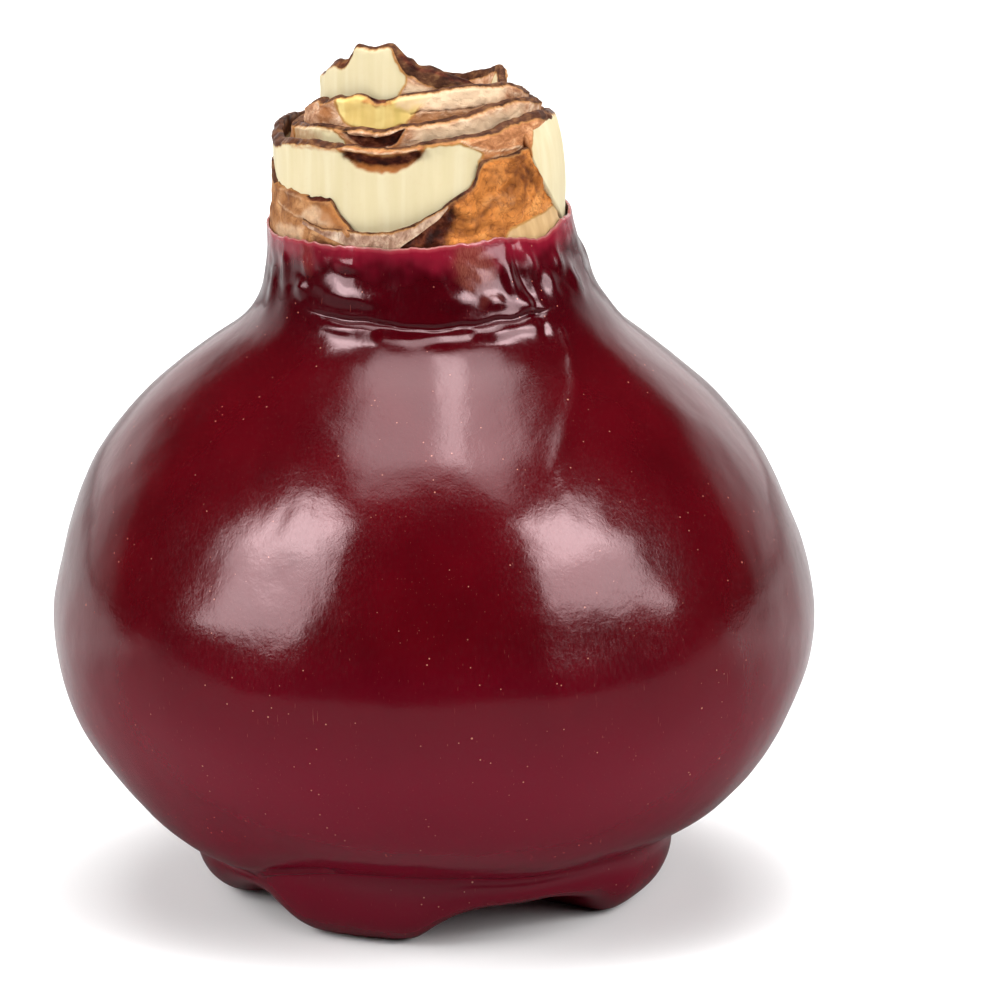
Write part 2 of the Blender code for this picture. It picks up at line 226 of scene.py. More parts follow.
def turned(points, steps, closed=False, start=-180, sweep=360):
    """The surface of a profile of (radius, height) points turned round Z, with each vertex's profile row."""
    mesh = bmesh.new()
    row = mesh.verts.layers.float.new("row")
    corners = [mesh.verts.new((0, -radius, height)) for radius, height in points]
    for index, corner in enumerate(corners):
        corner[row] = index
    for pair in zip(corners, corners[1:]):
        mesh.edges.new(pair)
    if closed:
        mesh.edges.new((corners[-1], corners[0]))
    bmesh.ops.spin(mesh, geom=mesh.verts[:] + mesh.edges[:], cent=(0, 0, 0), axis=(0, 0, 1), dvec=(0, 0, 0),
                   angle=math.radians(sweep), steps=max(steps // CUTS, 2), use_merge=sweep == 360)
    across = [edge for edge in mesh.edges if edge.verts[0][row] == edge.verts[1][row]]
    bmesh.ops.subdivide_edges(mesh, edges=across, cuts=CUTS - 1, use_grid_fill=True)
    if sweep < 360:
        ends = [edge for edge in mesh.edges if len(edge.link_faces) == 1]
        bmesh.ops.holes_fill(mesh, edges=ends, sides=0)
    turn = Matrix.Rotation(math.radians(start), 3, "Z")
    bmesh.ops.rotate(mesh, verts=mesh.verts[:], cent=(0, 0, 0), matrix=turn)
    return mesh


def places_of(mesh, start=-180, sweep=360):
    """Each vertex's row in the profile, azimuth and height, as arrays."""
    row = mesh.verts.layers.float["row"]
    rows = np.array([round(vertex[row]) for vertex in mesh.verts])
    x, y, height = np.array([vertex.co[:] for vertex in mesh.verts]).T
    azimuth = np.degrees(np.arctan2(x, -y))
    azimuth = np.where(azimuth > start + sweep + 1, azimuth - 360, azimuth)
    return rows, azimuth, height


def put(mesh, radius, azimuth, height):
    """Moves the vertices to places round the leaning axis."""
    points = on_cylinder(radius, azimuth, height) + np.stack((lean_at(height), 0 * height, 0 * height), 1)
    for vertex, point in zip(mesh.verts, points * MM):
        vertex.co = point


def mark(mesh, **values):
    """Gives every vertex its value under each name, for the material to read."""
    for name, numbers in values.items():
        layer = mesh.verts.layers.float.new(name)
        for vertex, number in zip(mesh.verts, numbers):
            vertex[layer] = float(number)


def piece(name, mesh, material, replaced=None):
    """Makes the mesh a named piece of the bulb that rides on its body."""
    bmesh.ops.remove_doubles(mesh, verts=mesh.verts[:], dist=0.0005 * MM)
    bmesh.ops.recalc_face_normals(mesh, faces=mesh.faces[:])
    mesh.verts.layers.float.remove(mesh.verts.layers.float["row"])
    data = bpy.data.meshes.new(name)
    mesh.to_mesh(data)
    mesh.free()
    data.materials.append(material)
    data.shade_smooth()
    item = bpy.data.objects.new(name, data)
    bpy.context.scene.collection.objects.link(item)
    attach(item, "root")
    if replaced:
        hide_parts(replaced)


# Finishes. Most patterns read places in millimetres, so that a scale of 1 / 9 gives patches 9 mm wide.


def paint(hex_colour):
    """An sRGB hex colour as linear red, green, blue and alpha."""
    channels = [int(hex_colour[place:place + 2], 16) / 255 for place in (1, 3, 5)]
    return tuple(c / 12.92 if c <= 0.04045 else ((c + 0.055) / 1.055) ** 2.4 for c in channels) + (1,)


def add(tree, kind, inputs=None, stops=None, **settings):
    """Adds a node with its settings, its ramp's (place, colour) stops, and its inputs: a value, or a node or
    socket to link from. An input goes by its number, or by its name among those in use."""
    node = tree.nodes.new("ShaderNode" + kind)
    for name, value in settings.items():
        setattr(node, name, value)
    if stops:
        while len(node.color_ramp.elements) < len(stops):
            node.color_ramp.elements.new(0.5)
        for element, (place, shade) in zip(node.color_ramp.elements, stops):
            element.position = place
            element.color = paint(shade)
    for name, value in (inputs or {}).items():
        if isinstance(name, int):
            socket = node.inputs[name]
        else:
            socket = next(each for each in node.inputs if each.enabled and each.name == name)
        if isinstance(value, bpy.types.Node):
            value = next(each for each in value.outputs if each.enabled)
        if isinstance(value, bpy.types.NodeSocket):
            tree.links.new(value, socket)
        else:
            socket.default_value = value
    return node


def new_finish(name):
    """A material with an empty node tree."""
    material = bpy.data.materials.new(name)
    material.use_nodes = True
    material.node_tree.nodes.clear()
    return material, material.node_tree


def dipped_wax():
    """Paraffin wax, dyed dark red and dipped: a smooth, glossy skin with a faint orange peel, dust specks and
    handling scratches. It thins to magenta at the mouth, where the dry neck shows through."""
    material, tree = new_finish("dipped_paraffin_wax")
    place = add(tree, "TexCoord").outputs["Object"]
    mm = add(tree, "Mapping", {"Vector": place, "Scale": (1000, 1000, 1000)})
    below = add(tree, "Attribute", attribute_name="below_mouth").outputs["Fac"]
    see_through = add(tree, "Attribute", attribute_name="see_through").outputs["Fac"]

    cloud = add(tree, "TexNoise", {"Vector": mm, "Scale": 1 / 9, "Detail": 3.0})
    middle = add(tree, "ValToRGB", {"Fac": cloud}, stops=((0.3, "#420107"), (0.7, "#4d020a")))
    up = add(tree, "SeparateXYZ", {"Vector": mm}).outputs["Z"]
    # Painted light: the red is painted lighter towards the foot, standing in for light bounced up from the
    # floor.
    bounce_light_share = add(tree, "MapRange", {"Value": up, "From Min": 44.0, "From Max": 22.0},
                     interpolation_type="SMOOTHSTEP")
    low = add(tree, "Mix", {"Factor": bounce_light_share, "A": middle, "B": paint("#62031a")}, data_type="RGBA")
    # Painted shade: the red is painted darker over the neck, for the shade it shows.
    neck_shade_share = add(tree, "MapRange", {"Value": up, "From Min": 68.0, "From Max": 75.0},
                     interpolation_type="SMOOTHSTEP")
    deep = add(tree, "Mix", {"Factor": neck_shade_share, "A": low, "B": paint("#390006")}, data_type="RGBA")
    wander = add(tree, "TexNoise", {"Vector": mm, "Scale": 1 / 3.6, "Detail": 2.0})
    depth = add(tree, "Math", {0: wander.outputs["Fac"], 1: -5.0, 2: below}, operation="MULTIPLY_ADD")
    thinness = add(tree, "MapRange", {"Value": depth, "From Min": 1.3, "From Max": -2.3},
                   interpolation_type="SMOOTHSTEP")
    thin = add(tree, "Mix", {"Factor": thinness, "A": deep, "B": paint("#7b1326")}, data_type="RGBA")
    streaks_mm = add(tree, "Mapping", {"Vector": place, "Scale": (1600, 1600, 330)})
    streaks = add(tree, "TexNoise", {"Vector": streaks_mm, "Detail": 4.0})
    dry = add(tree, "ValToRGB", {"Fac": streaks}, stops=((0.32, "#652822"), (0.68, "#8d5141")))
    window = add(tree, "Mix", {"Factor": see_through, "A": thin, "B": dry}, data_type="RGBA")
    rose = add(tree, "MapRange", {"Value": below, "From Min": 0.5, "From Max": 0.12})
    rosy = add(tree, "Mix", {"Factor": rose, "A": window, "B": paint("#95323c")}, data_type="RGBA")
    edge = add(tree, "MapRange", {"Value": below, "From Min": 0.1, "From Max": 0.02})
    lip = add(tree, "Mix", {"Factor": edge, "A": rosy, "B": paint("#a0605c")}, data_type="RGBA")

    rare = add(tree, "TexNoise", {"Vector": mm, "Scale": 1 / 9, "Detail": 1.0})
    tone = lip
    for apart, size, often in ((3.1, 0.14, 0.5), (1.4, 0.1, 0.47)):
        dust = add(tree, "TexVoronoi", {"Vector": mm, "Scale": 1 / apart, "Randomness": 1.0})
        dot = add(tree, "MapRange", {"Value": dust.outputs["Distance"], "From Min": size / apart,
                                     "From Max": 0.6 * size / apart})
        some = add(tree, "MapRange", {"Value": rare.outputs["Fac"], "From Min": often,
                                      "From Max": often + 0.06})
        specks = add(tree, "Math", {0: dot, 1: some}, operation="MULTIPLY")
        tone = add(tree, "Mix", {"Factor": specks, "A": tone, "B": paint("#b0705f")}, data_type="RGBA")
    drawn_mm = add(tree, "Mapping", {"Vector": place, "Scale": (1500, 1500, 30),
                                     "Rotation": (0.0, 0.6, 0.5)})
    drawn = add(tree, "TexNoise", {"Vector": drawn_mm, "Detail": 1.0})
    scratch = add(tree, "MapRange", {"Value": drawn.outputs["Fac"], "From Min": 0.75, "From Max": 0.775,
                                     "To Max": 0.3})
    dusty = add(tree, "Mix", {"Factor": scratch, "A": tone, "B": paint("#a35c50")}, data_type="RGBA")

    peel = add(tree, "TexNoise", {"Vector": mm, "Scale": 1 / 1.5, "Detail": 2.0})
    wrinkles = add(tree, "TexNoise", {"Vector": mm, "Scale": 1 / 0.6, "Detail": 2.0, "Distortion": 1.4})
    relief = add(tree, "Mix", {"Factor": 0.35, "A": peel.outputs["Fac"], "B": wrinkles.outputs["Fac"]},
                 data_type="FLOAT")
    skin = add(tree, "Bump", {"Height": relief, "Distance": 0.03 * MM, "Strength": 1.0})
    rubbed_mm = add(tree, "Mapping", {"Vector": place, "Scale": (900, 900, 160)})
    rubbed = add(tree, "TexNoise", {"Vector": rubbed_mm, "Detail": 4.0, "Roughness": 0.6})
    gloss = add(tree, "MapRange", {"Value": rubbed.outputs["Fac"], "From Min": 0.4, "From Max": 0.7,
                                   "To Min": 0.13, "To Max": 0.24})
    shader = add(tree, "BsdfPrincipled", {"Base Color": dusty, "Roughness": gloss, "IOR": 1.58,
                                          "Specular Tint": paint("#ffdde2"),
                                          "Normal": skin.outputs["Normal"]})
    add(tree, "OutputMaterial", {"Surface": shader})
    return material


def neck_finish(name, skin, flesh, dried, roughness=0.6, blotch=1.7, stretch=1.8, grain=0.1):
    """Bulb scale cut with a knife and left to dry. The shaved part is smooth flesh with faint upright veins,
    the unshaved part is wrinkled papery skin, and the cut rim has dried to a thin dark band.

    skin, flesh and dried are the colours of the three, blotch is how wide the skin's patches are in
    millimetres, stretch how many times wider than tall, and grain how deep its wrinkles are."""
    material, tree = new_finish(name)
    place = add(tree, "TexCoord").outputs["Object"]
    mm = add(tree, "Mapping", {"Vector": place, "Scale": (1000, 1000, 1000)})
    level = add(tree, "Mapping", {"Vector": place, "Scale": (1000, 1000, 1000 * stretch)})
    upright = add(tree, "Mapping", {"Vector": place, "Scale": (1000, 1000, 90)})
    shaved, rim, dark, warm, pale = (add(tree, "Attribute", attribute_name=each).outputs["Fac"]
                                     for each in ("shaved", "dried", "dark", "warm", "pale"))

    veins = add(tree, "TexNoise", {"Vector": upright, "Scale": 1 / 1.5, "Detail": 2.0})
    flesh_tone = add(tree, "ValToRGB", {"Fac": veins}, stops=tuple(zip((0.32, 0.5, 0.68), flesh)))
    mottle = add(tree, "TexNoise", {"Vector": level, "Scale": 1 / blotch, "Detail": 5.0, "Roughness": 0.55,
                                    "Distortion": 0.7})
    skin_tone = add(tree, "ValToRGB", {"Fac": mottle}, stops=tuple(zip((0.3, 0.45, 0.57, 0.72), skin)))
    folds = add(tree, "TexNoise", {"Vector": level, "Scale": 1 / 2.3, "Detail": 3.0, "Distortion": 1.6})
    from_fold = add(tree, "Math", {0: folds.outputs["Fac"], 1: 0.5, 2: 0.022}, operation="COMPARE")
    lined = add(tree, "Mix", {"Factor": from_fold, "A": skin_tone, "B": paint(skin[0])}, data_type="RGBA")
    wrinkles = add(tree, "TexNoise", {"Vector": level, "Scale": 1 / 0.7, "Detail": 3.0, "Distortion": 1.2})
    wrinkled = add(tree, "MapRange", {"Value": wrinkles.outputs["Fac"], "From Min": 0.52, "From Max": 0.68,
                                      "To Max": 0.45})
    darker = add(tree, "Mix", {"Factor": wrinkled, "A": skin_tone, "B": paint(skin[0])}, data_type="RGBA")
    lines = add(tree, "Mix", {"Factor": 0.3, "A": darker, "B": lined}, data_type="RGBA")
    fray = add(tree, "TexNoise", {"Vector": mm, "Scale": 1 / 0.6, "Detail": 4.0, "Roughness": 0.6})
    ash = add(tree, "TexNoise", {"Vector": level, "Scale": 1 / 1.5, "Detail": 4.0, "Roughness": 0.55})
    dried_tone = add(tree, "ValToRGB", {"Fac": ash}, stops=tuple(zip((0.36, 0.52, 0.66), dried)))
    burnt_and_shade_tone = add(tree, "ValToRGB", {"Fac": ash}, stops=((0.36, "#290c05"), (0.52, "#4b1c0c"),
                                                            (0.7, "#7a432a")))

    def frayed(signed, ragged, low, high):
        """A mask from a distance in mm or a share, with its edge frayed by so much."""
        moved = add(tree, "Math", {0: fray.outputs["Fac"], 1: ragged, 2: signed}, operation="MULTIPLY_ADD")
        return add(tree, "MapRange", {"Value": moved, "From Min": low + ragged / 2,
                                      "From Max": high + ragged / 2}, interpolation_type="SMOOTHSTEP")

    open_flesh = frayed(shaved, 0.2, -0.05, 0.12)
    tone = add(tree, "Mix", {"Factor": open_flesh, "A": lines, "B": flesh_tone}, data_type="RGBA")
    edge_in = frayed(shaved, 0.25, 0.3, 0.0)
    edge_out = frayed(shaved, 0.25, -0.2, 0.0)
    edge = add(tree, "Math", {0: edge_in, 1: edge_out}, operation="MULTIPLY")
    tone = add(tree, "Mix", {"Factor": edge, "A": tone, "B": paint("#b08044")}, data_type="RGBA")
    # The pale marks are paler bands of skin, and on the lips they are also a painted highlight.
    for share, ragged, colour in ((pale, 0.5, "#dfc09e"), (warm, 0.6, "#a56633")):
        tone = add(tree, "Mix", {"Factor": frayed(share, ragged, 0.0, 1.0), "A": tone, "B": paint(colour)},
                   data_type="RGBA")
    halo = frayed(rim, 0.5, -0.3, 0.05)
    tone = add(tree, "Mix", {"Factor": halo, "A": tone, "B": paint("#a5723f")}, data_type="RGBA")
    band = frayed(rim, 0.35, -0.08, 0.1)
    tone = add(tree, "Mix", {"Factor": band, "A": tone, "B": dried_tone}, data_type="RGBA")
    # The dark marks are painted in burnt browns: dried burnt patches, and also painted shade in hollows, under
    # edges and between folds.
    tone = add(tree, "Mix", {"Factor": frayed(dark, 0.5, 0.15, 0.85), "A": tone, "B": burnt_and_shade_tone},
               data_type="RGBA")

    rough = add(tree, "Mix", {"Factor": open_flesh, "A": roughness + 0.05, "B": 0.42}, data_type="FLOAT")
    furrow = add(tree, "Math", {0: from_fold, 1: -0.3, 2: mottle.outputs["Fac"]}, operation="MULTIPLY_ADD")
    furrow = add(tree, "Math", {0: wrinkled, 1: -0.6, 2: furrow}, operation="MULTIPLY_ADD")
    faint = add(tree, "Math", {0: veins.outputs["Fac"], 1: 0.4}, operation="MULTIPLY")
    relief = add(tree, "Mix", {"Factor": open_flesh, "A": furrow, "B": faint}, data_type="FLOAT")
    bumps = add(tree, "Bump", {"Height": relief, "Distance": grain * MM, "Strength": 0.8})
    shader = add(tree, "BsdfPrincipled", {"Base Color": tone, "Roughness": rough, "IOR": 1.45,
                                          "Specular IOR Level": 0.15, "Normal": bumps.outputs["Normal"]})
    add(tree, "OutputMaterial", {"Surface": shader})
    return material


# The wax coat

# The fold across the front of the neck: azimuth and height
FOLD = ((-46, 74.2), (-38, 73.95), (-30, 73.9), (-21, 73.9), (-10, 73.6), (0, 73.5), (12, 73.65),
        (24, 73.95), (38.5, 74.15), (48, 74.3))
# Dents, a pleat, a ridge and cracks in the wax: the (azimuth, height) points of each, how far it stands out,
# its reach, and the coat's radius there
LINES = ((((-16, 72.9), (-8, 72.7), (2, 72.8), (12, 73.1)), -0.4, 0.6, 20.5),
         (((37, 82.4), (37, 79.4), (39, 76.4), (39, 73.6), (38, 72.1)), -0.28, 0.6, 19.2),
         (((45, 72.3), (43, 69.8), (38, 67.1), (35, 65.8), (29, 63.3), (23, 59.7)), 0.15, 0.6, 30),
         (((-20, 57), (-23.5, 51), (-26, 44.5)), -0.06, 0.15, 40),
         (((-26, 56), (-30, 50)), -0.06, 0.15, 40))
# Drops and folds of wax on the neck: azimuth, height, reach round, reach up and how far each stands out
DROPS = ((-37, 77.2, 2.4, 1.5, 0.5), (-29, 76.6, 2.0, 1.0, 0.4), (-38, 79.8, 1.4, 1.3, 0.3),
         (-19, 76.6, 1.9, 1.2, 0.5), (-27, 80.2, 2.2, 0.8, 0.25), (9, 76.6, 2.2, 1.2, 0.45),
         (24, 76.2, 1.5, 0.9, 0.35), (32, 78.4, 0.9, 2.2, 0.5), (36, 75.6, 1.4, 0.8, 0.4),
         (44, 79.8, 0.9, 1.3, 0.4), (50, 77.4, 0.9, 1.6, 0.4), (58, 79.6, 0.9, 1.5, 0.4),
         (64, 77.0, 1.1, 1.8, 0.4), (-50, 76.8, 0.9, 0.9, 0.4), (-47, 79.6, 0.7, 1.5, 0.3),
         (-60, 78.5, 1.0, 2.4, 0.35), (-70, 76.4, 1.2, 2.6, 0.4), (100, 78, 1.2, 2.0, 0.4),
         (128, 77, 1.6, 1.4, 0.45), (160, 78.5, 1.2, 2.2, 0.4), (-110, 77.5, 1.5, 1.8, 0.45),
         (-140, 78.5, 1.1, 2.0, 0.4))
# Where the dry neck shows through the thin wax, plainly and faintly: azimuth and height
DRY_WINDOW = ((12, 84), (12, 80), (15, 78.2), (19, 77), (24, 77.6), (26, 80), (26, 84))
FAINT_WINDOW = ((-51, 83), (-50, 79), (-45, 78.5), (-42, 80), (-41, 83))
# The coat's radius at its mouth, at the windows and at the drops
MOUTH_RADIUS = 18
WINDOW_RADIUS = 18.6
DROP_RADIUS = 19


def wax_relief(azimuth, height, points):
    """How far the coat's surface stands out from its plain outline."""
    body = smooth_step(9, 18, height)
    neck = smooth_step(74.5, 77, height) * (1 - smooth_step(81.5, 83.5, height))
    front = smooth_step(-47, -34, azimuth) * (1 - smooth_step(38, 48, azimuth))
    out = swell(azimuth, height)
    out = out + body * 0.14 * lumps(points, 14, 1) + body * 0.05 * lumps(points, 6, 2)
    out = out + 0.02 * lumps(points, 2.6, 3)
    out = out + neck * (0.15 * lumps(points * (1, 1, 0.5), 3.6, 4) + 0.06 * lumps(points, 1.6, 5))
    for middle, level, reach_round, reach_up, proud in DROPS:
        sideways = (azimuth - middle) * math.radians(1) * DROP_RADIUS
        away = np.hypot(sideways / reach_round, (height - level) / reach_up)
        out = out + proud * np.exp(-(away**2))
    above_fold = height - along(FOLD, azimuth) + 0.12 * lumps(points, 2.2, 15)
    uneven = 0.8 + 0.6 * lumps(points * (1, 1, 0.3), 4.5, 14)
    out = out + front * (0.34 * uneven * bump(-0.85, 0.7, above_fold) - 0.45 * bump(0.3, 0.26, above_fold))
    for line, proud, reach, radius in LINES:
        out = out + proud * bump(0, reach, off_line(azimuth, height, line, radius))
    return out


def mouth_rise(azimuth):
    """How far the mouth's edge stands above its plain height: slow waves, small bites and a ragged edge."""
    ring = on_cylinder(MOUTH_RADIUS, azimuth, 0)
    rise = around(MOUTH_EDGE, azimuth) - COAT_TOP
    rise = rise + 0.13 * lumps(ring, 1.1, 6) + 0.12 * lumps(ring, 3.7, 7)
    return rise + 0.08 * lumps(ring, 0.5, 13)


def see_through_share(azimuth, height, points):
    """How much the dry neck shows through the wax: plainly right of the middle, and faintly at the left."""
    plain = inside_by(azimuth, height, DRY_WINDOW, WINDOW_RADIUS)
    plain = smooth_step(-1.0, 1.6, plain + 0.9 * lumps(points, 1.8, 10))
    faint = inside_by(azimuth, height, FAINT_WINDOW, WINDOW_RADIUS)
    faint = smooth_step(-0.4, 1.2, faint + 0.5 * lumps(points, 1.5, 11))
    return np.maximum(0.68 * plain, 0.25 * faint)


def wax_coat():
    """The dipped coat: a thin shell open at the mouth, on a thick base whose feet are pressed flat."""
    spots = np.arange(len(SKIRT))
    fine = np.concatenate((np.linspace(14, 12, 5)[:-1], np.linspace(12, 0, 61)))
    skirt_heights, skirt_radii = (along(tuple(zip(spots, side)), fine) for side in zip(*SKIRT))
    foot_heights, foot_radii = (along(tuple(zip(spots, side)), fine) for side in zip(*FOOT))
    underside = list(zip(skirt_radii, skirt_heights))
    outer_levels = np.concatenate((np.linspace(CREASE, 12, 10)[:-1], np.linspace(12, 69, 72)[:-1],
                                   np.linspace(69, COAT_TOP, 70)))
    outer = list(zip(coat_radius(outer_levels), outer_levels))
    inner_levels = np.concatenate((np.linspace(COAT_FLOOR + FLOOR_CORNER, SHOULDER, 15),
                                   np.linspace(SHOULDER, COAT_TOP, 12)[1:]))
    inner = inset_outline(inner_levels, wall_at(inner_levels))
    lip = [(outer[-1][0] - 0.06, COAT_TOP + 0.08), (outer[-1][0] - 0.18, COAT_TOP + 0.11),
           (inner[-1][0] + 0.06, COAT_TOP + 0.08)]
    inner_floor = [(inner[0][0] - FLOOR_CORNER, COAT_FLOOR), (0, COAT_FLOOR)]
    profile = underside + outer + lip + inner[::-1] + inner_floor
    mesh = turned(profile, 368)
    rows, azimuth, height = places_of(mesh)
    radius = np.array(profile)[rows, 0]
    outside = (rows >= len(underside)) & (rows < len(underside) + len(outer))
    base = rows < len(underside)

    nominal = height
    rise = mouth_rise(azimuth)
    height = height + rise * smooth_step(74, COAT_TOP, height)
    below_mouth = COAT_TOP + rise - height

    points = on_cylinder(radius, azimuth, height)
    slope = coat_radius(height + 0.3) - coat_radius(height - 0.3)
    outward = 1 / np.hypot(1, slope / 0.6)
    upward = -slope / 0.6 * outward
    relief = wax_relief(azimuth, height, points)
    radius = radius + np.where(outside, relief * outward, 0)
    height = height + np.where(outside, relief * upward, 0)

    share = np.clip(around(FOOT_SHARE, azimuth), 0, 1)
    step = np.where(base, rows, 0)
    soft_shoulder = 1.5 * bump(-34, 13, azimuth) * bump(7.9, 1.5, nominal)
    base_radius = radius + share * (foot_radii - skirt_radii)[step] + soft_shoulder
    lift = around(CREASE_LIFT, azimuth)
    base_height = height + share * (foot_heights - skirt_heights)[step]
    base_height = base_height + lift * smooth_step(5, CREASE, nominal)
    base_height = base_height + 0.1 * (1 - share) * lumps(points, 5, 8)
    radius = np.where(base & (rows > 3), base_radius + 0.08 * lumps(points, 4, 9), radius)
    height = np.where(base, np.maximum(base_height, 0),
                      height + lift * (1 - smooth_step(CREASE, 18, nominal)) * outside)

    wax_side = rows < len(underside) + len(outer) + len(lip)
    see_through = see_through_share(azimuth, height, points) * outside
    mark(mesh, below_mouth=np.where(wax_side, below_mouth, 3.0), see_through=see_through)
    put(mesh, radius, azimuth, height)
    piece("dipped_wax_coat", mesh, dipped_wax(), "wax_coat")


# The bulb inside the coat


def bulb_flesh():
    """The grown bulb, out of sight in the wax but for the folded leaf ends in the middle of the neck."""
    levels = np.linspace(COAT_FLOOR + FLOOR_CORNER, SHOULDER, 24)
    side = inset_outline(levels, wall_at(levels) + GAP + 0.1)
    base = [(0, COAT_FLOOR + GAP), (side[0][0] - FLOOR_CORNER, COAT_FLOOR + GAP)]
    stem = [(CORE_RADIUS - 0.1, height) for height in np.linspace(SHOULDER, CORE_TOP - 1.2, 12)]
    top = [(radius, CORE_TOP - 0.9) for radius in np.linspace(CORE_RADIUS - 0.4, 0, 34)]
    mesh = turned(base + side + stem + top, 176)
    rows, azimuth, height = places_of(mesh)
    radius = np.array(base + side + stem + top)[rows, 0]
    x, y, _ = on_cylinder(radius, azimuth, 0).T
    wander = 1.6 * lumps(on_cylinder(radius, azimuth, 0), 3.2, 12)
    leaf = 0.5 + 0.5 * np.cos((np.hypot(x, 1.9 * y + 1.5) + wander) * 2 * math.pi / 4.6)
    on_top = rows >= len(base) + len(side) + len(stem)
    height = height + np.where(on_top, 1.4 * leaf**2 - 0.9 * smooth_step(2, 9, radius), 0)
    radius = radius + swell(azimuth, height) * ~on_top
    # Painted shade and highlight: the gaps between the folded leaf ends are painted dark and their hollows
    # warmer, and their crests paler.
    fold_gap_shade = np.where(on_top, 1 - smooth_step(0.0, 0.22, leaf), 0)
    nothing = np.zeros(len(rows))
    mark(mesh, shaved=nothing + 1.0, dried=nothing - 5.0, dark=0.5 * fold_gap_shade, warm=0.45 * on_top * (1 - leaf),
         pale=0.5 * smooth_step(0.7, 1.0, leaf) * on_top)
    put(mesh, radius, azimuth, height)
    finish = neck_finish("folded_young_leaves", PINK_TAN, TAWNY, BURNT, grain=0.2)
    piece("bulb_flesh", mesh, finish, "bulb_body")


# The neck scales

CREAM = ("#cfc199", "#d2c49e", "#d6caa7")
GREENISH = ("#d0b466", "#d9ba6f", "#e3cc84")
TAWNY = ("#b18f63", "#bf9d6f", "#ccab7f")
PINK_TAN = ("#9b6748", "#bb8b69", "#d0a686", "#dcc2a9")
COLLAR_TAN = ("#834f30", "#ad7046", "#c6885c", "#dca77a")
BROWN_TAN = ("#724529", "#97653d", "#ac794e", "#be9165")
ORANGE_BROWN = ("#5b280e", "#9d5d27", "#c77b39", "#de9853")
GREY_TAN = ("#7c5b46", "#9e7c68", "#b59780", "#cbb49e")
BURNT = ("#371d12", "#553220", "#785234")


def touched(azimuth, height, radius, marks):
    """What a scale's marks do at each place: how far they turn each tone, and how deep they press the scale.
    Each mark is its tone and strength, its shape and (azimuth, height) points, its reach and its depth."""
    tones = {"dark": 0 * azimuth, "warm": 0 * azimuth, "pale": 0 * azimuth, "none": 0 * azimuth}
    depth = 0 * azimuth
    for tone, strength, shape, points, reach, deep in marks:
        if shape == "line":
            share = bump(0, reach, off_line(azimuth, height, points, radius))
        else:
            share = smooth_step(-reach, reach, inside_by(azimuth, height, points, radius))
        tones[tone] = np.maximum(tones[tone], strength * share)
        depth = depth + deep * share
    tones.pop("none")
    return tones, depth


